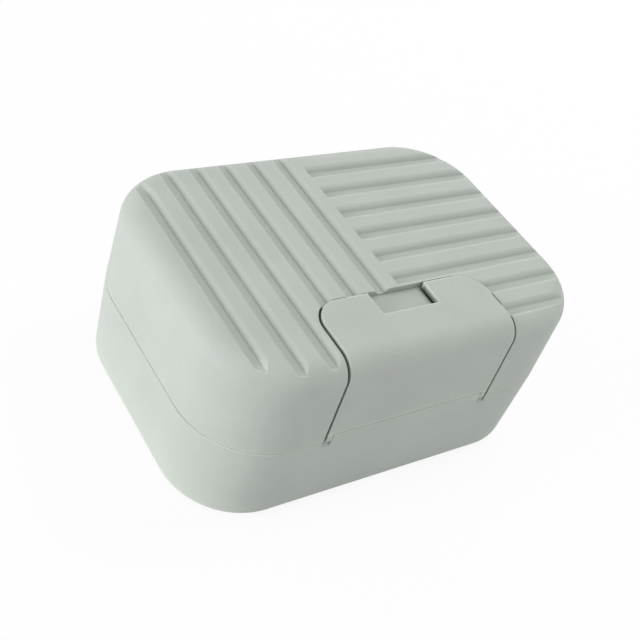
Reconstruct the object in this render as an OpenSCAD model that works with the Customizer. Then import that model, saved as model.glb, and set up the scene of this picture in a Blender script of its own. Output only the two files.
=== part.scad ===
// Covered soap dish: a deep base, a hinged lid with grooves on its top, and a broad latch
// flap that turns on the base's front edge and hooks over the lid.
// +Z is up, the flap is at the front (-Y), and the origin is under the middle of the base.

/* [Box] */
// Length of the closed box, side to side
box_l = 110; // [96:1:130]
// Depth of the closed box, front to back
box_w = 78; // [70:1:96]
// Height of the base, up to the parting line
base_h = 25.5; // [22:0.5:34]
// Height of the lid above the parting line
lid_h = 25; // [23:0.5:34]
// Radius of the four upright corners
corner_r = 21; // [15:0.5:24]
// Radius of the lid's top edge
top_r = 5.5; // [4:0.5:8]
// Radius of the base's bottom edge
foot_r = 3.5; // [2.5:0.5:5]
// How far the base's walls lean in towards the bottom
base_draft = 0.6; // [0.2:0.1:1.5]
// How far the lid's walls lean in towards the top
lid_draft = 0.4; // [0.2:0.1:1.5]
// Thickness of the walls
wall = 2.2; // [2:0.1:3]
// Thickness of the base's floor
floor_t = 2.2; // [1.6:0.1:3]
// Thickness of the lid's top
roof_t = 2.6; // [2.2:0.1:3.5]
// Bevel on the two edges that meet at the parting line
edge_bevel = 0.25; // [0.1:0.05:0.5]

/* [Rim and seal] */
// Thickness of the base's upright rim
rim_t = 1.1; // [0.9:0.1:1.5]
// Height of the rim above the parting line
rim_h = 2.9; // [2:0.1:4]
// Thickness of the lid's skirt outside the rim
skirt_t = 0.85; // [0.7:0.05:1]
// Height of the seal ring
seal_h = 1.5; // [1:0.1:2.5]
// Gap between the rim's top and the seal
seal_gap = 0.1; // [0.05:0.05:0.3]

/* [Top grooves] */
// Width of a groove at the lid's top
groove_w = 5.1; // [4:0.1:5.6]
// Depth of a groove
groove_d = 1.3; // [0.8:0.1:1.5]
// Radius of the round shoulders on both sides of a groove
groove_round = 2.2; // [1.8:0.1:2.8]
// Number of grooves that run front to back
long_grooves = 6; // [3:1:6]
// Spacing of the grooves that run front to back
long_pitch = 8.44; // [7.5:0.01:8.6]
// Middle of the last groove that runs front to back, left of the box's middle
long_last = 3.75; // [2.8:0.05:5]
// Number of grooves that run side to side
cross_grooves = 8; // [3:1:8]
// Spacing of the grooves that run side to side
cross_pitch = 8.64; // [8:0.01:9]
// Middle of the rearmost side-to-side groove, forward of the box's back
cross_back = 10.6; // [9:0.05:12]
// Where the side-to-side grooves start, right of the box's middle
cross_start = 1.2; // [0.6:0.1:6]

/* [Latch flap] */
// Width of the flap
flap_w = 50.2; // [40:0.1:54]
// Thickness of the flap
flap_t = 1.8; // [1.4:0.1:2.2]
// How far the flap reaches back over the lid's top
flap_reach = 21; // [16:0.1:24]
// Radius of the flap's two free corners
flap_corner_r = 7; // [3:0.1:10]
// How far the flap stands above the lid's top
flap_proud = 0.4; // [0.1:0.1:0.8]
// Gap beside the flap
flap_side_gap = 0.8; // [0.5:0.1:1.2]
// Gap behind the flap's free edge
flap_end_gap = 0.5; // [0.3:0.1:1]
// Gap under and behind the flap
flap_under_gap = 0.3; // [0.25:0.05:0.6]
// Width of the finger notch
notch_w = 17.4; // [14:0.1:20]
// Depth of the finger notch
notch_d = 7.3; // [5:0.1:9]
// How far the lid falls away under the flap, from the free edge to the front
ramp_drop = 17.2; // [16.6:0.1:18.5]

/* [Flap hinge] */
// Height of the flap's hinge axis above the parting line
flap_axis_up = 0.15; // [0.1:0.05:0.3]
// How far the hinge axis lies behind the front face
flap_axis_in = 0.6; // [0.55:0.05:0.65]
// Radius of the flap's two trunnions
trunnion_r = 0.45; // [0.35:0.05:0.5]
// Running clearance around a pin or trunnion
pin_fit = 0.05; // [0.03:0.01:0.1]
// Height of the base's hinge lug above the parting line
lug_h = 2.3; // [2.3:0.1:3]
// How far the flap opens, in degrees
flap_open = 150; // [120:5:150]
// Width of each tab at the flap's lower corners
tab_w = 1.6; // [1.4:0.1:4]

/* [Rear hinge] */
// Radius of the hinge knuckles
knuckle_r = 2.4; // [2:0.1:3]
// Radius of the hinge pin
pin_r = 1; // [0.7:0.1:1.3]
// Length of the lid's middle knuckle
lid_knuckle_l = 26; // [16:1:40]
// Length of each of the base's two knuckles
base_knuckle_l = 8.5; // [6:0.5:12]
// Gap between neighbouring knuckles, and between a knuckle and the wall
knuckle_gap = 0.3; // [0.2:0.05:0.5]

/* [Drain tray] */
// Height of the tray's plate above the base's floor
tray_up = 6; // [4:0.5:9]
// Thickness of the tray's plate
tray_t = 1.6; // [1.2:0.1:2.4]
// Gap between the tray and the base's front lining
tray_gap = 0.8; // [0.4:0.1:2]
// Width of a drain slot
slot_w = 3.2; // [2:0.1:4]
// Spacing of the drain slots
slot_pitch = 8; // [6.5:0.5:10]
// Height of the ribs that carry the soap
tray_rib_h = 1.2; // [0.8:0.1:2]
// Width of the ribs
tray_rib_w = 1.4; // [1:0.1:2]
// Solid border outside the drain slots
tray_border = 5; // [4:0.5:8]
// Solid strip between the two rows of slots
tray_strip = 6; // [4:0.5:10]
// Radius of the tray's feet
tray_foot_r = 2.5; // [1.5:0.5:3.5]

/* [Hidden] */
$fn = 96;

// A little more than a cut needs, so that it goes right through
over = 1;
total_h = base_h + lid_h;
front_y = -box_w / 2;
back_y = box_w / 2;

// The bay is the stretch of the lid's front wall that steps back behind the flap
bay_half = flap_w / 2 + flap_side_gap;
bay_in = flap_t + flap_under_gap;
bay_corner_r = flap_corner_r + flap_side_gap;

// A groove's shoulder is an arc that meets the lid's top at a slight angle
shoulder_rise = 0.05;
shoulder_down = groove_round - shoulder_rise;
shoulder_in = sqrt(groove_round * groove_round - shoulder_down * shoulder_down);

// The flap's free edge, and the lid's recess behind it
flap_end_y = front_y + flap_reach;
recess_end_y = flap_end_y + flap_end_gap;
recess_z = total_h + flap_proud - bay_in;
ramp_z = recess_z - ramp_drop;
notch_bottom_y = flap_end_y - notch_d;

// The flap's hinge
flap_axis_y = front_y + flap_axis_in;
flap_axis_z = base_h + flap_axis_up;
lug_gap = 0.15;
lug_half = flap_w / 2 - tab_w - lug_gap;
lug_bevel = 0.35;
ear_l = 2.6;
trunnion_out = 0.35;
tab_clear = 0.1;
tab_relief = flap_axis_in * tan(flap_open / 2) + 2 * tab_clear;

// The rear hinge
pin_axis_y = back_y + knuckle_gap + knuckle_r;
pin_axis_z = base_h;
hinge_half = lid_knuckle_l / 2 + knuckle_gap + base_knuckle_l;

// The seal lies in the lid's rebate, over the base's rim
seal_z = base_h + rim_h + seal_gap;
rebate_top = seal_z + seal_h;
seal_fit = 0.05;

// The drain tray
tray_half_w = box_w / 2 - bay_in - wall - tray_gap;
tray_half_l = box_l / 2 - bay_in - wall - tray_gap;
tray_corner_r = corner_r - bay_in - wall - tray_gap;
tray_z = floor_t + tray_up;
slot_len = tray_half_w - tray_border - tray_strip / 2;
slot_count = floor(2 * (tray_half_l - tray_corner_r / 2 - tray_border / 2) / slot_pitch);

// Section of a drafted wall with a round edge at z0, drawn outward from a corner's centre
module wall_section(r, draft, edge_r, z0, z1, bevel) {
    foot = r - draft;
    polygon([
        [0, z0 + edge_r],
        [foot, z0 + edge_r],
        [r, z1 - bevel],
        [r - bevel, z1],
        [0, z1]
    ]);
    translate([foot - edge_r, z0 + edge_r]) circle(edge_r);
    translate([0, z0]) square([foot - edge_r, 2 * edge_r]);
}

// Solid whose wall section, the child, runs round a rounded rectangle
module rounded_body(l, w, r, z0, z1) {
    half = [l / 2 - r, w / 2 - r];
    corners = [[1, 1], [-1, 1], [-1, -1], [1, -1]];
    for (k = [0:3]) {
        translate([corners[k].x * half.x, corners[k].y * half.y, 0])
            rotate(90 * k)
            rotate_extrude(angle = 90) children();
        away = half[k % 2];
        run = 2 * half[(k + 1) % 2];
        rotate(90 * k)
            translate([away, run / 2, 0])
            rotate([90, 0, 0])
            linear_extrude(run) children();
    }
    translate([-half.x, -half.y, z0]) cube([2 * half.x, 2 * half.y, z1 - z0]);
}

// Lower half of the box's form, drawn in by the given amount
module base_form(in, z0, z1, edge_r, bevel) {
    rounded_body(box_l - 2 * in, box_w - 2 * in, corner_r - in, z0, z1)
        wall_section(corner_r - in, base_draft, edge_r, z0, z1, bevel);
}

// Upper half of the box's form, drawn in by the given amount, with its round edge on top
module lid_form(in, top_in, edge_r, z1, bevel) {
    translate([0, 0, total_h])
        mirror([0, 0, 1])
        rounded_body(box_l - 2 * in, box_w - 2 * in, corner_r - in, top_in, z1)
        wall_section(corner_r - in, lid_draft, edge_r, top_in, z1, bevel);
}

module rounded_rect(l, w, r) {
    square([l - 2 * r, w], center = true);
    square([l, w - 2 * r], center = true);
    for (x = [-1, 1], y = [-1, 1])
        translate([x * (l / 2 - r), y * (w / 2 - r)]) circle(r);
}

// Outline of the box at the parting line, drawn in, and stepped back at the latch bay
module parting_outline(in) {
    difference() {
        rounded_rect(box_l - 2 * in, box_w - 2 * in, corner_r - in);
        translate([-bay_half - in, front_y - over])
            square([2 * (bay_half + in), bay_in + in + over]);
    }
}

// Extrudes a shape drawn in Y and Z along X, centred
module along_x(l) {
    rotate([90, 0, 90])
        translate([0, 0, -l / 2])
        linear_extrude(l) children();
}

// The base
module base() {
    color([0.70, 0.74, 0.70])
    difference() {
        union() {
            difference() {
                base_form(0, 0, base_h, foot_r, edge_bevel);
                base_cavity();
            }
            rim();
            hinge_lug();
            base_knuckles();
        }
        // The flap's tabs and trunnions turn in these
        for (s = [-1, 1]) {
            translate([s * (lug_half - ear_l / 2 + over / 2), flap_axis_y, flap_axis_z])
                rotate([0, 90, 0])
                cylinder(h = ear_l + over, r = trunnion_r + pin_fit, center = true);
            translate([s * (lug_half + (bay_half - lug_half) / 2), 0, 0])
                along_x(bay_half - lug_half) tab_relief_section();
        }
        pin_bore();
    }
}

// Inside of the base: the front wall stays thick where it carries the latch bay
module base_cavity() {
    difference() {
        base_form(wall, floor_t, base_h + over, foot_r, 0);
        translate([-bay_half - wall, front_y, 0])
            cube([2 * (bay_half + wall), bay_in + wall, base_h + 2 * over]);
    }
}

// Upright rim that the lid's skirt closes over
module rim() {
    translate([0, 0, base_h - over])
        linear_extrude(rim_h + over)
        difference() {
            parting_outline(wall - rim_t);
            parting_outline(wall);
        }
}

// Raised lug between the flap's two tabs: its top edge is the flap's lower edge
module hinge_lug() {
    along_x(2 * lug_half)
        difference() {
            translate([front_y, base_h - over]) square([flap_t, lug_h + over]);
            translate([front_y, base_h + lug_h])
                rotate(45)
                square(lug_bevel * sqrt(2), center = true);
        }
}

// Bevel under each tab, which lets the flap swing down past the front edge
module tab_relief_section() {
    r = flap_axis_in + tab_clear;
    touch = [
        flap_axis_y - r * cos(flap_open),
        flap_axis_z - r * sin(flap_open)
    ];
    translate([flap_axis_y, flap_axis_z]) circle(r);
    polygon([
        [front_y - over, base_h + over],
        [front_y - over, flap_axis_z - tab_relief],
        [front_y, flap_axis_z - tab_relief],
        touch,
        [flap_axis_y + r, flap_axis_z],
        [flap_axis_y + r, base_h + over]
    ]);
}

module base_knuckles() {
    for (s = [-1, 1])
        translate([s * (hinge_half - base_knuckle_l / 2), 0, 0])
            knuckle(base_knuckle_l, -1);
}

// A hinge knuckle on a web that reaches down (-1) or up (1) from the parting line
module knuckle(l, up) {
    web_z = (up < 0) ? pin_axis_z - knuckle_r : pin_axis_z;
    translate([0, pin_axis_y, pin_axis_z])
        rotate([0, 90, 0])
        cylinder(h = l, r = knuckle_r, center = true);
    translate([-l / 2, back_y - wall / 2, web_z])
        cube([l, pin_axis_y - back_y + wall / 2, knuckle_r]);
}

module pin_bore() {
    translate([0, pin_axis_y, pin_axis_z])
        rotate([0, 90, 0])
        cylinder(h = 2 * hinge_half + over, r = pin_r + pin_fit, center = true);
}

// The lid
module lid() {
    color([0.72, 0.76, 0.72])
    difference() {
        union() {
            difference() {
                lid_form(0, 0, top_r, lid_h, edge_bevel);
                lid_cavity();
            }
            knuckle(lid_knuckle_l, 1);
        }
        latch_recess();
        long_groove_cuts();
        cross_groove_cuts();
        // Rebate for the seal and for the base's rim
        translate([0, 0, base_h - over])
            linear_extrude(rebate_top - base_h + over) parting_outline(skirt_t);
        pin_bore();
    }
}

// Inside of the lid: the wall steps back and slopes behind the flap
module lid_cavity() {
    difference() {
        lid_form(wall, roof_t, top_r - wall, lid_h + over, 0);
        along_x(2 * (bay_half + wall))
            polygon([
                [front_y, base_h - 2 * over],
                [front_y + bay_in + wall, base_h - 2 * over],
                [front_y + bay_in + wall, ramp_z - wall / 2],
                [recess_end_y + wall, recess_z - wall],
                [recess_end_y + wall, total_h],
                [front_y, total_h]
            ]);
    }
}

// Recess that the flap lies in, with a raised floor in the finger notch
module latch_recess() {
    difference() {
        intersection() {
            along_x(2 * bay_half)
                polygon([
                    [front_y - over, base_h - over],
                    [front_y + bay_in, base_h - over],
                    [front_y + bay_in, ramp_z],
                    [recess_end_y, recess_z],
                    [recess_end_y, total_h + over],
                    [front_y - over, total_h + over]
                ]);
            translate([0, 0, base_h - 2 * over])
                linear_extrude(lid_h + 4 * over)
                flap_outline(bay_half, recess_end_y, bay_corner_r);
        }
        along_x(notch_w - 2 * flap_under_gap)
            polygon([
                [notch_bottom_y + flap_under_gap, base_h],
                [notch_bottom_y + flap_under_gap, recess_z],
                [recess_end_y + over, recess_z],
                [recess_end_y + over, base_h]
            ]);
    }
}

// Flap's outline seen from above, with two round corners at its free edge
module flap_outline(half, end_y, r) {
    translate([-half, front_y - 2 * over]) square([2 * half, end_y - r - front_y + 2 * over]);
    translate([r - half, front_y]) square([2 * (half - r), end_y - front_y]);
    for (s = [-1, 1])
        translate([s * (half - r), end_y - r]) circle(r);
}

// Section of a groove, with its open side at z = 0 and a round shoulder on both sides
module groove_section() {
    difference() {
        translate([-groove_w / 2, -groove_d]) square([groove_w, 2 * groove_d]);
        for (s = [-1, 1])
            translate([s * (groove_w / 2 + shoulder_in), -shoulder_down]) circle(groove_round);
    }
}

module long_groove_cuts() {
    for (i = [0:long_grooves - 1])
        translate([-long_last - i * long_pitch, 0, total_h])
            rotate([90, 0, 0])
            linear_extrude(box_w + 2 * over, center = true) groove_section();
}

// These end in a round shoulder at the side of the front-to-back grooves
module cross_groove_cuts() {
    run = box_l / 2 - cross_start + over;
    difference() {
        for (i = [0:cross_grooves - 1])
            translate([cross_start, back_y - cross_back - i * cross_pitch, total_h])
                rotate([90, 0, 90])
                linear_extrude(run) groove_section();
        translate([cross_start - shoulder_in, 0, total_h - shoulder_down])
            rotate([90, 0, 0])
            cylinder(h = box_w + 4 * over, r = groove_round, center = true);
    }
}

// The latch flap
module latch_flap() {
    color([0.73, 0.77, 0.73])
    union() {
        difference() {
            intersection() {
                along_x(flap_w) flap_section();
                translate([0, 0, base_h - over])
                    linear_extrude(lid_h + 3 * over)
                    difference() {
                        flap_outline(flap_w / 2, flap_end_y, flap_corner_r);
                        translate([-notch_w / 2, notch_bottom_y])
                            square([notch_w, notch_d + over]);
                    }
            }
            // Lower edge, over the base's hinge lug
            along_x(2 * (lug_half + lug_gap))
                translate([front_y - over, base_h])
                square([flap_t + 2 * over, lug_h + lug_gap]);
        }
        for (s = [-1, 1]) {
            translate([s * (flap_w - tab_w) / 2, flap_axis_y, flap_axis_z])
                rotate([0, 90, 0])
                cylinder(h = tab_w, r = flap_axis_in, center = true);
            trunnion_l = flap_w / 2 + trunnion_out - lug_half + ear_l - lug_gap;
            translate([s * (flap_w / 2 + trunnion_out - trunnion_l / 2), flap_axis_y, flap_axis_z])
                rotate([0, 90, 0])
                cylinder(h = trunnion_l, r = trunnion_r, center = true);
        }
    }
}

// Side view of the flap: up the front face, round the top edge and over the lid
module flap_section() {
    bend_z = total_h - top_r + flap_proud;
    difference() {
        flap_side(0, flap_axis_z, bend_z);
        translate([0, -over]) flap_side(flap_t, flap_axis_z, bend_z + over, over);
    }
}

module flap_side(in, z0, bend_z, more = 0) {
    y0 = front_y + in;
    y1 = front_y + lid_draft + in;
    r = top_r - in;
    end = flap_end_y + more;
    polygon([[y0, z0], [y1, bend_z], [end, bend_z], [end, z0]]);
    translate([y1 + r, bend_z]) circle(r);
    translate([y1 + r, bend_z]) square([end - y1 - r, r]);
}

// The seal ring, in the lid's rebate
module lid_seal() {
    color([0.93, 0.93, 0.90])
    translate([0, 0, seal_z])
        linear_extrude(seal_h)
        difference() {
            parting_outline(skirt_t + seal_fit);
            parting_outline(wall);
        }
}

// The loose drain tray
module drain_tray() {
    color([0.78, 0.81, 0.78]) {
        difference() {
            translate([0, 0, tray_z])
                linear_extrude(tray_t)
                rounded_rect(2 * tray_half_l, 2 * tray_half_w, tray_corner_r);
            for (i = [0:slot_count - 1], s = [-1, 1])
                translate([slot_x(i), s * (slot_len + tray_strip) / 2, tray_z - over])
                    linear_extrude(tray_t + 2 * over)
                    slot_outline();
        }
        for (i = [0:slot_count - 2])
            translate([slot_x(i) + slot_pitch / 2, 0, tray_z + tray_t / 2])
                linear_extrude(tray_t / 2 + tray_rib_h)
                square([tray_rib_w, 2 * slot_len], center = true);
        for (x = [-1, 1], y = [-1, 1])
            translate([x * (tray_half_l - tray_corner_r), y * (tray_half_w - tray_border), floor_t])
                cylinder(h = tray_up + tray_t / 2, r = tray_foot_r);
    }
}

// A drain slot with round ends
module slot_outline() {
    square([slot_w, slot_len - slot_w], center = true);
    for (s = [-1, 1])
        translate([0, s * (slot_len - slot_w) / 2]) circle(slot_w / 2);
}

function slot_x(i) = (i - (slot_count - 1) / 2) * slot_pitch;

// The pin of the rear hinge
module rear_hinge_pin() {
    color([0.75, 0.76, 0.77])
    translate([0, pin_axis_y, pin_axis_z])
        rotate([0, 90, 0])
        cylinder(h = 2 * hinge_half, r = pin_r, center = true);
}

base();
lid();
latch_flap();
lid_seal();
drain_tray();
rear_hinge_pin();
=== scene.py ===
# %% [markdown]
# # A covered soap dish in sage-green plastic
# The real object is a small travel box for a bar of soap. It is moulded in a matte sage
# plastic: a base, a lid of about the same height with two families of shallow grooves on
# its top, and a broad latch flap over the front. The shapes come ready made from the
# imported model, so this lesson is about looking: camera, finishes and light. Loading comes
# first, because every later step asks the frame where things are.

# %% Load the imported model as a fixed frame
from math import atan, cos, degrees, radians, sin

import bpy
from mathutils import Matrix, Vector


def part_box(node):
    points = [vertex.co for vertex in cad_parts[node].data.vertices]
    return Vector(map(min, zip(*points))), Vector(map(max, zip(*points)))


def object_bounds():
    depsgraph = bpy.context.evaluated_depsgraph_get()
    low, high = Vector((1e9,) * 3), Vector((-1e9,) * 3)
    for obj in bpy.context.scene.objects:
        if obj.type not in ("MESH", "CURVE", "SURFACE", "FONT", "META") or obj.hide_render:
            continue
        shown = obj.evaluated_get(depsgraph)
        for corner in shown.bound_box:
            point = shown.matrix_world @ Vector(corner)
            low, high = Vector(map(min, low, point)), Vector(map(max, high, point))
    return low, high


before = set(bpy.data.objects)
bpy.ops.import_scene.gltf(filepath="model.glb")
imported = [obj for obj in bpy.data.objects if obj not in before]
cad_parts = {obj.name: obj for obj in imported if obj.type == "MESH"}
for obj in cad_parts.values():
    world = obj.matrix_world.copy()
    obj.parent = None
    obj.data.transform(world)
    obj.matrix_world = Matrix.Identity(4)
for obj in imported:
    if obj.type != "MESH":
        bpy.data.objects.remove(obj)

MM = 0.001
cad_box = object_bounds()
print("box of the packed model, mm:", [round(v / MM, 1) for v in (*cad_box[0], *cad_box[1])])

# %% [markdown]
# ## The camera
# The photograph looks down on the box from its front left corner, with the camera
# rolled, so the box seems to lean. A camera can be aimed with a tracking constraint, but
# a roll is easier to read when the three axes of the camera are worked out by hand:
# one points back from the box to the camera, one to the right and one up, and the last
# two are then turned about the first by the roll.

# %% Place the camera
AZIMUTH, ELEVATION, ROLL = radians(-45.386), radians(40.338), radians(21.274)
AIM = Vector((-42.027, -39.310, 70.538)) * MM
AIM_DISTANCE = 211.431 * MM
SENSOR_MM = 36
LENS_MM = 59.724

back = Vector((sin(AZIMUTH) * cos(ELEVATION), -cos(AZIMUTH) * cos(ELEVATION), sin(ELEVATION)))
level_right = (-back).cross(Vector((0, 0, 1))).normalized()
level_up = back.cross(level_right)
right = cos(ROLL) * level_right + sin(ROLL) * level_up
up = cos(ROLL) * level_up - sin(ROLL) * level_right

camera_data = bpy.data.cameras.new("camera")
camera_data.sensor_width = SENSOR_MM
camera_data.lens = LENS_MM
camera_data.clip_start = 0.01
camera_data.clip_end = 20
camera = bpy.data.objects.new("camera", camera_data)
bpy.context.scene.collection.objects.link(camera)
turn = Matrix((right, up, back)).transposed().to_4x4()
camera.matrix_world = Matrix.Translation(AIM + back * AIM_DISTANCE) @ turn
bpy.context.scene.camera = camera
print("camera at, mm:", [round(v / MM, 1) for v in camera.matrix_world.translation])
print("field of view, degrees:", round(degrees(2 * atan(SENSOR_MM / 2 / LENS_MM)), 2))

# %% [markdown]
# ## Helpers for materials
# A material is a small machine of nodes. Writing each node, its values and its links by
# hand hides the idea behind the typing, so one short helper makes a node and fills its
# inputs: a value that comes out of another node becomes a link, and any other value is
# set on the socket. A second helper makes soft noise of a stated size in millimetres,
# because a finish is judged by the size of its detail. Nearly all of Blender's noise lies
# between 0.3 and 0.7, so the helper stretches that span to the one asked for.

# %% Make nodes and noise
NOISE_LOW, NOISE_HIGH = 0.3, 0.7


def add_node(tree, kind, inputs=None, **settings):
    made = tree.nodes.new("ShaderNode" + kind)
    for name, value in settings.items():
        setattr(made, name, value)
    for name, value in (inputs or {}).items():
        if isinstance(value, bpy.types.NodeSocket):
            tree.links.new(value, made.inputs[name])
        else:
            made.inputs[name].default_value = value
    return made


def fresh_material(name):
    material = bpy.data.materials.new(name)
    material.use_nodes = True
    tree = material.node_tree
    tree.nodes.clear()
    place = add_node(tree, "TexCoord").outputs["Object"]
    return material, tree, place


def noise(tree, place, feature_mm, low, high, detail=2.0):
    """Soft noise with features of about that size, spread from low to high."""
    cloud = add_node(tree, "TexNoise",
                     {"Vector": place, "Scale": 1 / (feature_mm * MM), "Detail": detail})
    spread = add_node(tree, "MapRange", {
        "Value": cloud.outputs["Fac"], "From Min": NOISE_LOW, "From Max": NOISE_HIGH,
        "To Min": low, "To Max": high})
    return spread.outputs["Result"]


def two_tones(tree, share, dark, light):
    ramp = add_node(tree, "ValToRGB", {"Fac": share})
    ramp.color_ramp.elements[0].color = (*dark, 1)
    ramp.color_ramp.elements[1].color = (*light, 1)
    return ramp.outputs["Color"]


def shade_of(colour, factor):
    return tuple(min(1.0, c * factor) for c in colour)


# %% [markdown]
# ## Matte moulded plastic
# The mould of such a box is spark-eroded, so the plastic comes out with a fine even
# grain and no gloss. Four things tell the eye that it is plastic and not paint: the
# grain itself, a faint cloudiness in the colour where the pigment mixed unevenly, edges
# that are never razor sharp, and darker corners. The grain is a bump from noise a
# quarter of a millimetre across, and the cloudiness runs between two close tones. A bevel
# node rounds every edge in the shading, where a true bevel on each groove would cost many
# faces. Where that rounding turns an open surface most there is an edge, and it gets a
# painted highlight: a paler colour, and a smoother surface too. Where an ambient occlusion
# node finds the surface shut in, there is a corner, and it gets painted shade: a darker colour.

# %% Tell edges from corners
ROUNDING_OF_EDGE = (0.998, 0.93)
OPENNESS_OF_EDGE, OPENNESS_OF_CORNER = (0.72, 0.92), (0.78, 0.2)
SHADING_RAYS = 6


def calculate(tree, kind, operation, *values):
    """A Math or VectorMath node whose inputs are given in order."""
    made = add_node(tree, kind, operation=operation)
    for socket, value in zip(made.inputs, values):
        if isinstance(value, bpy.types.NodeSocket):
            tree.links.new(value, socket)
        else:
            socket.default_value = value
    return made.outputs["Value" if operation in ("DOT_PRODUCT", "DISTANCE") else 0]


def ramp_between(tree, value, low, high, at_low=0.0, at_high=1.0):
    """Runs evenly from at_low to at_high while the value runs from low to high."""
    return add_node(tree, "MapRange", {"Value": value, "From Min": low, "From Max": high,
                                       "To Min": at_low, "To Max": at_high}).outputs["Result"]


def product(tree, first, *others):
    for other in others:
        first = calculate(tree, "Math", "MULTIPLY", first, other)
    return first


def edges_and_corners(tree, rounded, reach_mm=2.0):
    """How far a spot is an edge, which gets a painted highlight, and how far it is a shut-in
    corner, which gets painted shade, from 0 to 1.
    """
    flat = add_node(tree, "NewGeometry").outputs["Normal"]
    agreement = calculate(tree, "VectorMath", "DOT_PRODUCT", rounded, flat)
    openness = add_node(tree, "AmbientOcclusion", {"Distance": reach_mm * MM},
                        samples=SHADING_RAYS).outputs["AO"]
    edge = product(tree, ramp_between(tree, agreement, *ROUNDING_OF_EDGE),
                   ramp_between(tree, openness, *OPENNESS_OF_EDGE))
    return edge, ramp_between(tree, openness, *OPENNESS_OF_CORNER)


# %% [markdown]
# ### Small marks
# Two kinds of small mark make a moulding look real. The first come from its mould: steel
# pins push the cold part off the core and leave shallow rings inside it, and the spot
# where the plastic flowed in stays as a dimple. The second come from use: the photograph
# shows a few hairline scratches across the flap, where something slid over its bend. Both
# are far too shallow to model, so each is drawn by its distance, from a line or from a
# point, and only changes the shading.

# %% Draw lines and rings
def squeezed(tree, place, z_scale):
    """The same place with its height scaled, which widens or closes the gap between faces."""
    return add_node(tree, "Mapping", {"Vector": place, "Scale": (1, 1, z_scale)}).outputs[0]


def streak(tree, place, start_mm, end_mm, width_mm=0.6):
    """1 along a line seen from above, fading to 0 at its sides."""
    start, end = (Vector((*point, 0)) * MM for point in (start_mm, end_mm))
    along = (end - start).normalized()
    offset = calculate(tree, "VectorMath", "SUBTRACT", squeezed(tree, place, 0), start)
    reach = calculate(tree, "VectorMath", "DOT_PRODUCT", offset, along)
    length = (end - start).length
    nearest = add_node(tree, "VectorMath", {
        "Vector": along, "Scale": ramp_between(tree, reach, 0, length, 0, length)},
        operation="SCALE").outputs[0]
    distance = calculate(tree, "VectorMath", "DISTANCE", offset, nearest)
    return ramp_between(tree, distance, width_mm / 2 * MM, 0)


def ring(tree, place, centre_mm, radius_mm, line_mm=0.8, stretch=10):
    """1 on a circle on the level face that holds its centre, fading to 0 on both sides."""
    centre = Vector((centre_mm[0], centre_mm[1], centre_mm[2] * stretch)) * MM
    distance = calculate(tree, "VectorMath", "DISTANCE", squeezed(tree, place, stretch), centre)
    off_line = calculate(tree, "Math", "SUBTRACT", distance, radius_mm * MM)
    return ramp_between(tree, calculate(tree, "Math", "ABSOLUTE", off_line), line_mm / 2 * MM, 0)


def strongest(tree, marks):
    mask = marks[0]
    for mark in marks[1:]:
        mask = calculate(tree, "Math", "MAXIMUM", mask, mark)
    return mask


# %% [markdown]
# ### The plastic itself
# The masks now steer the finish. An edge gets a painted highlight and is smoother than the
# rest, a corner gets painted shade, a mark is a shallow step and a touch paler, and painted
# shade or painted light along a few lines takes or gives a share of the light. Light also
# enters the plastic a little before it comes back out, which softens every small shadow:
# that is the subsurface part.

# %% Build the moulded plastic
CLOUD_MM, CLOUDINESS = 16, 0.025
SPECK_MM, SPECK_LIGHT = 0.8, (0.985, 1.012)
# Corners keep this share of their colour as painted shade; marks get this much paler.
PAINTED_CORNER_SHADE, MARK_LIGHT = 0.55, 1.04
MATT_PATCH_MM, MATT_SPREAD = 9, 0.04
EDGE_ROUGHNESS = 0.8
GRAIN_MM = 0.25
GRAIN_DEPTH, MARK_DEPTH = 0.006 * MM, 0.06 * MM


# The fifth argument makes the edges paler: a painted highlight.
def moulded_plastic(name, colour, marks=None, painted_line_shade=None, edge_highlight=1.25, matt=0.56, round_mm=0.6):
    """marks and the painted line shade and light are functions that draw in the material's own
    tree.
    """
    material, tree, place = fresh_material(name)
    rounded = add_node(tree, "Bevel", {"Radius": round_mm * MM},
                       samples=SHADING_RAYS).outputs["Normal"]
    edge, corner = edges_and_corners(tree, rounded)
    mark = strongest(tree, marks(tree, place)) if marks else 0.0
    # Painted shade or painted light along a few lines: the share of the light left to the colour.
    painted_line_factor = calculate(tree, "Math", "SUBTRACT", 1.0, painted_line_shade(tree, place)) if painted_line_shade else 1.0

    cloudy = two_tones(tree, noise(tree, place, CLOUD_MM, low=0, high=1, detail=3),
                       shade_of(colour, 1 - CLOUDINESS), shade_of(colour, 1 + CLOUDINESS))
    # Painted highlight on edges, painted shade in corners, and the painted light and shade of the
    # seam, hinge line and notch, all mixed into the colour.
    lightness = product(tree, noise(tree, place, SPECK_MM, *SPECK_LIGHT),
                        ramp_between(tree, edge, 0, 1, 1.0, edge_highlight),
                        ramp_between(tree, corner, 0, 1, 1.0, PAINTED_CORNER_SHADE),
                        ramp_between(tree, mark, 0, 1, 1.0, MARK_LIGHT), painted_line_factor)
    body = add_node(tree, "HueSaturation", {"Color": cloudy, "Value": lightness})

    polish = ramp_between(tree, edge, 0, 1, 1.0, EDGE_ROUGHNESS)
    roughness = product(tree, noise(tree, place, MATT_PATCH_MM, low=matt - MATT_SPREAD,
                                    high=matt + MATT_SPREAD), polish)

    surface = rounded
    grain = noise(tree, place, GRAIN_MM, low=0, high=1, detail=3)
    for height, depth in ((mark, MARK_DEPTH), (grain, GRAIN_DEPTH)):
        surface = add_node(tree, "Bump", {"Strength": 1.0, "Distance": depth, "Height": height,
                                          "Normal": surface}).outputs["Normal"]
    plastic = add_node(tree, "BsdfPrincipled", {
        "Base Color": body.outputs["Color"], "Roughness": roughness, "Normal": surface,
        "IOR": 1.49, "Specular IOR Level": 0.4, "Subsurface Weight": 0.12,
        "Subsurface Scale": 1.0 * MM, "Subsurface Radius": (1.0, 1.0, 0.9)})
    add_node(tree, "OutputMaterial", {"Surface": plastic.outputs["BSDF"]})
    return material
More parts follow.
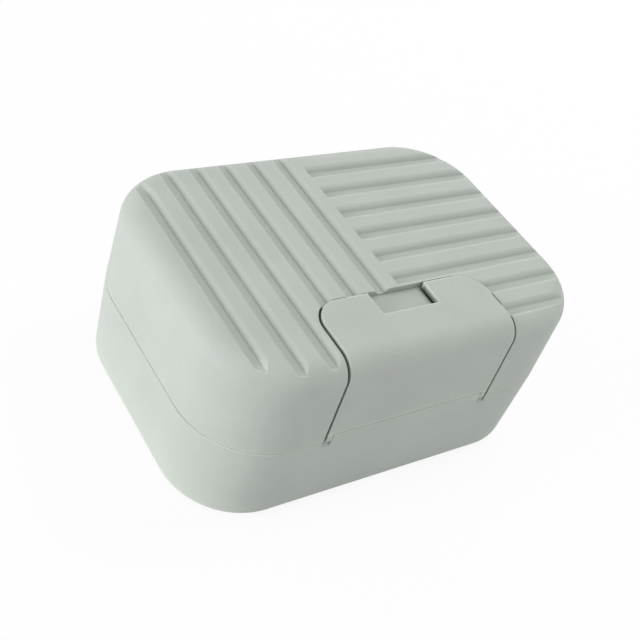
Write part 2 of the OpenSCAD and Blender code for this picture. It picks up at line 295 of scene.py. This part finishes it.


# %% [markdown]
# ### Where the marks are
# The rings go where a mould maker puts the pins: towards the four corners of each inside
# face. The base's lie on its floor and the lid's under its roof, so their heights come
# from the thickness of both. The dimple, two rings, sits in the middle under the base.
# The scratches are where the photograph shows them. Two dark places get painted shade:
# the seam between lid and base on the left wall, and the foot of the finger notch's right
# side. Beside the flap that seam is pale, and the line under the flap is soft, so there the
# painted shade turns to painted light: the share of light taken is less than nothing. Both
# lines stay on the outer walls, so that the inside shows no band when the box is open.

# %% Place the marks and dress the mouldings
PIN_MARK_R = 2.5
PIN_MARK_X, PIN_MARK_Y = 33, 20
DIMPLE_RADII = (1.2, 3.0)
FLOOR_THICK, ROOF_THICK = 2.2, 2.6
SEAM_Z, HINGE_LINE_Z, FLAP_HALF = 25.5, 27.87, 25.1
# Shares of light taken by painted shade at the seam, and given by painted light beside the flap
# and under it.
SEAM_SHADE_SHARE, PAINTED_LIGHT_SHARE = 0.16, 0.15
HALF_LENGTH, HALF_DEPTH, CORNER_R = 55, 39, 21
CORNER_CENTRE = Vector((HALF_LENGTH - CORNER_R, HALF_DEPTH - CORNER_R, 0)) * MM
OUTER_SKIN = ((CORNER_R - 0.7) * MM, (CORNER_R - 0.5) * MM)
LEFT_WALL_X = (-51 * MM, -54.8 * MM)
# Where the finger notch's right side gets painted shade, and how strong it is.
NOTCH_SIDE, NOTCH_SHADE_SHARE = ((8.7, -25.5), (8.7, -19)), 0.7
NOTCH_SIDE_Z = (50.8 * MM, 49.6 * MM)
PHOTO_SCRATCHES = [((-16.1, -31.5), (-11.9, -34.7)), ((-16.0, -33.0), (-12.7, -35.2)),
                   ((-10.7, -35.0), (-6.4, -36.5)), ((-13.9, -36.0), (-10.8, -37.1))]


def pin_rings(tree, place, z_mm):
    return [ring(tree, place, (x, y, z_mm), PIN_MARK_R)
            for x in (-PIN_MARK_X, PIN_MARK_X) for y in (-PIN_MARK_Y, PIN_MARK_Y)]


def base_marks(tree, place):
    dimple = [ring(tree, place, (0, 0, 0), radius) for radius in DIMPLE_RADII]
    return pin_rings(tree, place, FLOOR_THICK) + dimple


def lid_marks(tree, place):
    roof_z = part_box("lid")[1].z / MM - ROOF_THICK
    return pin_rings(tree, place, roof_z)


def flap_scratches(tree, place):
    return [streak(tree, place, start, end) for start, end in PHOTO_SCRATCHES]


def on_outside(tree, place):
    """1 on the box's outer walls and 0 on its rim and inner walls, which lie further in."""
    from_middle = calculate(tree, "VectorMath", "ABSOLUTE", squeezed(tree, place, 0))
    past_corner = calculate(tree, "VectorMath", "SUBTRACT", from_middle, CORNER_CENTRE)
    outward = calculate(tree, "VectorMath", "MAXIMUM", past_corner, (0, 0, 0))
    distance = calculate(tree, "VectorMath", "DISTANCE", outward, (0, 0, 0))
    return ramp_between(tree, distance, *OUTER_SKIN)


def level_band(tree, place, z_mm, half_mm=0.6):
    """1 at that height on the outer walls, fading to 0 above and below it."""
    height = add_node(tree, "SeparateXYZ", {"Vector": place}).outputs["Z"]
    off_level = calculate(tree, "Math", "ABSOLUTE",
                          calculate(tree, "Math", "SUBTRACT", height, z_mm * MM))
    return product(tree, ramp_between(tree, off_level, half_mm * MM, 0.1 * MM),
                   on_outside(tree, place))


def seam_painted_shade_and_light(tree, place):
    """The share of the light taken at the seam: painted shade on the left wall, painted light
    elsewhere.
    """
    across = add_node(tree, "SeparateXYZ", {"Vector": place}).outputs["X"]
    from_middle = calculate(tree, "Math", "ABSOLUTE", across)
    beside_flap = ramp_between(tree, from_middle, FLAP_HALF * MM, (FLAP_HALF + 1) * MM)
    return product(tree, level_band(tree, place, SEAM_Z), beside_flap,
                   ramp_between(tree, across, *LEFT_WALL_X, -PAINTED_LIGHT_SHARE, SEAM_SHADE_SHARE))


def hinge_line_painted_light(tree, place):
    """The same for the line under the flap: painted light only."""
    return product(tree, level_band(tree, place, HINGE_LINE_Z), -PAINTED_LIGHT_SHARE)


def notch_painted_shade(tree, place):
    """The share of the light taken low on the finger notch's right side: painted shade."""
    height = add_node(tree, "SeparateXYZ", {"Vector": place}).outputs["Z"]
    return product(tree, streak(tree, place, *NOTCH_SIDE, width_mm=1.6),
                   ramp_between(tree, height, *NOTCH_SIDE_Z), NOTCH_SHADE_SHARE)


# Painted shade and painted light of the base's seam and hinge line.
def base_painted_shade_and_light(tree, place):
    return calculate(tree, "Math", "ADD", seam_painted_shade_and_light(tree, place), hinge_line_painted_light(tree, place))


# Painted shade of the notch and painted light of the hinge line.
def flap_painted_shade_and_light(tree, place):
    return calculate(tree, "Math", "ADD", notch_painted_shade(tree, place), hinge_line_painted_light(tree, place))


def dress(node_name, material):
    """Gives a carried-over piece its finish, in every slot of its mesh."""
    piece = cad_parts[node_name]
    for slot in piece.material_slots:
        slot.material = material
    low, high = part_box(node_name)
    print(node_name, "wears", material.name, "over", [round(v / MM, 1) for v in high - low], "mm")


SAGE = (0.50, 0.545, 0.495)
dress("base", moulded_plastic("sage_base_plastic", SAGE, base_marks, base_painted_shade_and_light))
dress("lid", moulded_plastic("sage_lid_plastic", SAGE, lid_marks, seam_painted_shade_and_light))
# The flap's edges get a stronger painted highlight.
dress("latch_flap", moulded_plastic("sage_flap_plastic", SAGE, flap_scratches, flap_painted_shade_and_light,
                                    edge_highlight=1.45))
dress("drain_tray", moulded_plastic("sage_tray_plastic", shade_of(SAGE, 1.08), matt=0.5))

# %% [markdown]
# ## Silicone seal and steel hinge pin
# The seal is a thin ring of soft silicone in the lid. Silicone has a slightly waxy skin
# that lets light into its surface, so it gets more subsurface scattering than the
# plastic and a faint dusty bump. The hinge pin is a length of drawn steel wire: the
# drawing leaves scratches along it, which the noise copies by being stretched along X.

# %% Build the silicone and the drawn steel
DUST_DEPTH, SCRATCH_DEPTH = 0.005 * MM, 0.003 * MM
STRETCH_ALONG_X = (0.02, 1, 1)


def silicone(name, colour):
    material, tree, place = fresh_material(name)
    waxy = two_tones(tree, noise(tree, place, feature_mm=5, low=0, high=1),
                     shade_of(colour, 0.95), shade_of(colour, 1.03))
    dusty = noise(tree, place, feature_mm=0.15, low=0, high=1)
    bump = add_node(tree, "Bump", {"Strength": 0.6, "Distance": DUST_DEPTH, "Height": dusty})
    rubber = add_node(tree, "BsdfPrincipled", {
        "Base Color": waxy, "Roughness": noise(tree, place, feature_mm=3, low=0.42, high=0.55),
        "Normal": bump.outputs["Normal"], "IOR": 1.41, "Subsurface Weight": 0.35,
        "Subsurface Scale": 1.2 * MM, "Subsurface Radius": (1.0, 0.95, 0.9)})
    add_node(tree, "OutputMaterial", {"Surface": rubber.outputs["BSDF"]})
    return material


def drawn_steel(name):
    material, tree, place = fresh_material(name)
    along = add_node(tree, "Mapping", {"Vector": place,
                                       "Scale": STRETCH_ALONG_X}).outputs["Vector"]
    drawn = noise(tree, along, feature_mm=0.06, low=0, high=1, detail=4)
    colour = two_tones(tree, drawn, (0.50, 0.50, 0.49), (0.64, 0.64, 0.63))
    bump = add_node(tree, "Bump", {"Strength": 0.7, "Distance": SCRATCH_DEPTH, "Height": drawn})
    steel = add_node(tree, "BsdfPrincipled", {
        "Base Color": colour, "Metallic": 1.0, "Normal": bump.outputs["Normal"],
        "Roughness": noise(tree, along, feature_mm=0.2, low=0.24, high=0.36),
        "Anisotropic": 0.5})
    add_node(tree, "OutputMaterial", {"Surface": steel.outputs["BSDF"]})
    return material


dress("lid_seal", silicone("pale_silicone", (0.66, 0.69, 0.65)))
dress("rear_hinge_pin", drawn_steel("drawn_steel"))

# %% [markdown]
# ## The floor
# The photograph shows the box on plain white, and the foot of its walls is bright. Such
# pictures are taken on a white table lit from below. A floor made white by lamps would
# also burn out the box, so the floor helps itself: what the camera and mirroring surfaces
# see of it is one part lit surface, which keeps the shadow of the box, and the rest plain
# white. Everything else sees a pale surface with a weak glow, which lights the foot of the
# walls. The glow is stronger along the left wall, which is at its brightest near the
# floor. The floor lies a hair below the box, because two faces in one plane would flicker.

# %% Lay the floor
FLOOR_GLOW = 0.03
LEFT_GLOW, LEFT_GLOW_WIDTH_MM = 0.6, 50
LEFT_GLOW_LINE = ((-56, 36), (-56, -30))
FLOOR_WHITE_SHARE = 0.9


def pale_floor():
    material, tree, place = fresh_material("pale_floor")
    tones = two_tones(tree, noise(tree, place, feature_mm=30, low=0, high=1),
                      (0.80, 0.80, 0.80), (0.82, 0.82, 0.82))
    paper = add_node(tree, "BsdfDiffuse", {"Roughness": 1.0, "Color": tones})
    by_left_wall = streak(tree, place, *LEFT_GLOW_LINE, LEFT_GLOW_WIDTH_MM)
    glow = add_node(tree, "Emission", {"Color": (1, 1, 1, 1), "Strength": ramp_between(
        tree, by_left_wall, 0, 1, FLOOR_GLOW, LEFT_GLOW)})
    table = add_node(tree, "AddShader")
    tree.links.new(paper.outputs[0], table.inputs[0])
    tree.links.new(glow.outputs[0], table.inputs[1])
    bright = add_node(tree, "BsdfDiffuse", {"Color": (1, 1, 1, 1)})
    white = add_node(tree, "Emission", {"Color": (1, 1, 1, 1), "Strength": 1.0})
    seen = add_node(tree, "MixShader", {"Fac": FLOOR_WHITE_SHARE})
    tree.links.new(bright.outputs[0], seen.inputs[1])
    tree.links.new(white.outputs[0], seen.inputs[2])
    path = add_node(tree, "LightPath")
    direct = add_node(tree, "Math", operation="MAXIMUM")
    tree.links.new(path.outputs["Is Camera Ray"], direct.inputs[0])
    tree.links.new(path.outputs["Is Glossy Ray"], direct.inputs[1])
    chosen = add_node(tree, "MixShader", {"Fac": direct.outputs[0]})
    tree.links.new(table.outputs[0], chosen.inputs[1])
    tree.links.new(seen.outputs[0], chosen.inputs[2])
    add_node(tree, "OutputMaterial", {"Surface": chosen.outputs[0]})
    return material


FLOOR_HALF = 3.0
FLOOR_GAP = 0.05 * MM
corners = [(x * FLOOR_HALF, y * FLOOR_HALF, -FLOOR_GAP)
           for x, y in ((-1, -1), (1, -1), (1, 1), (-1, 1))]
floor_mesh = bpy.data.meshes.new("floor")
floor_mesh.from_pydata(corners, [], [(0, 1, 2, 3)])
floor_mesh.materials.append(pale_floor())
floor = bpy.data.objects.new("floor", floor_mesh)
bpy.context.scene.collection.objects.link(floor)

# %% [markdown]
# ## The light
# In the photograph the left wall is the brightest, the top is a little darker and the
# front is the darkest. One lamp alone can't do that. A low softbox at the left lights the
# left wall and the right side of every long groove. A weaker one high at the right lifts
# the top, a third at the back right reaches the other side of the grooves, and a pale
# room fills the rest. The room is the world colour. Each softbox is an area lamp that
# looks at the middle of the box from a bearing and a height in degrees, and the left one
# is a touch less green, as the left wall is in the photograph.

# %% Set up the room and the softboxes
ROOM = 0.62
world = bpy.data.worlds.new("room")
bpy.context.scene.world = world
world.use_nodes = True
tree = world.node_tree
tree.nodes.clear()
path = add_node(tree, "LightPath")
room = add_node(tree, "Background", {"Color": (1, 1, 1, 1), "Strength": ROOM})
backdrop = add_node(tree, "Background", {"Color": (1, 1, 1, 1), "Strength": 1.0})
sky = add_node(tree, "MixShader", {"Fac": path.outputs["Is Camera Ray"]})
tree.links.new(room.outputs[0], sky.inputs[1])
tree.links.new(backdrop.outputs[0], sky.inputs[2])
add_node(tree, "OutputWorld", {"Surface": sky.outputs[0]})

SOFTBOX_AWAY, SOFTBOX_SIDE = 0.85, 0.3
BOX_MIDDLE = (cad_box[0] + cad_box[1]) / 2


def softbox(name, bearing, height, watts, tint=(1, 1, 1)):
    """A square lamp at that bearing, from the front towards the right, and that height."""
    lamp = bpy.data.lights.new(name, "AREA")
    lamp.shape = "SQUARE"
    lamp.size = SOFTBOX_SIDE
    lamp.energy = watts
    lamp.color = tint
    holder = bpy.data.objects.new(name, lamp)
    bpy.context.scene.collection.objects.link(holder)
    bearing, height = radians(bearing), radians(height)
    outward = Vector((sin(bearing) * cos(height), -cos(bearing) * cos(height), sin(height)))
    holder.location = BOX_MIDDLE + outward * SOFTBOX_AWAY
    holder.rotation_euler = outward.to_track_quat("Z", "Y").to_euler()
    print(name, "at, mm:", [round(v / MM) for v in holder.location])


softbox("softbox_left", bearing=-97, height=12, watts=3.9, tint=(1, 0.97, 1))
softbox("softbox_right", bearing=90, height=60, watts=1.6)
softbox("softbox_back_right", bearing=135, height=15, watts=1.0)

# %% [markdown]
# ## Picture settings and the finish
# The Standard view shows each colour as it was written.

# %% Set the view transform
bpy.context.scene.view_settings.view_transform = "Standard"
